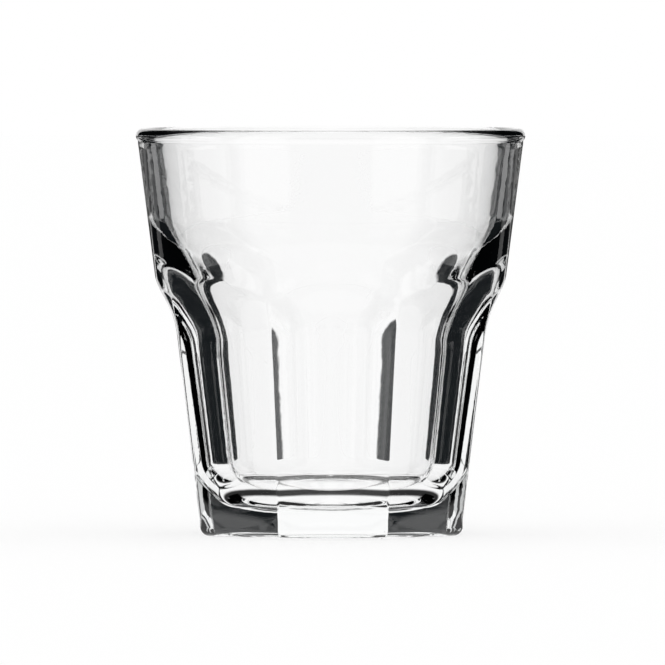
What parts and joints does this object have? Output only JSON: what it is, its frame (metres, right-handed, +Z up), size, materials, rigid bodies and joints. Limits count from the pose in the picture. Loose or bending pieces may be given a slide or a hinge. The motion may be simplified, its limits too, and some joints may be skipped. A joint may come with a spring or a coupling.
{
  "type": "rocks glass",
  "caption": "Clear pressed-glass tumbler with a round flared body, a beaded rim and a heavy panelled base with arched scoops, for short drinks.",
  "frame": {"origin": "middle of the ring that the glass stands on, at table height", "axes": "+Z up along the axis of the glass, -Y through the middle of one flat panel, which is the panel that faces the camera in the picture"},
  "size_m": [0.085, 0.085, 0.0886],
  "materials": {
    "clear_glass": "fire-polished pressed soda-lime glass, clear"
  },
  "bodies": {
    "root": {"tumbler": "clear_glass"}
  },
  "joints": []
}
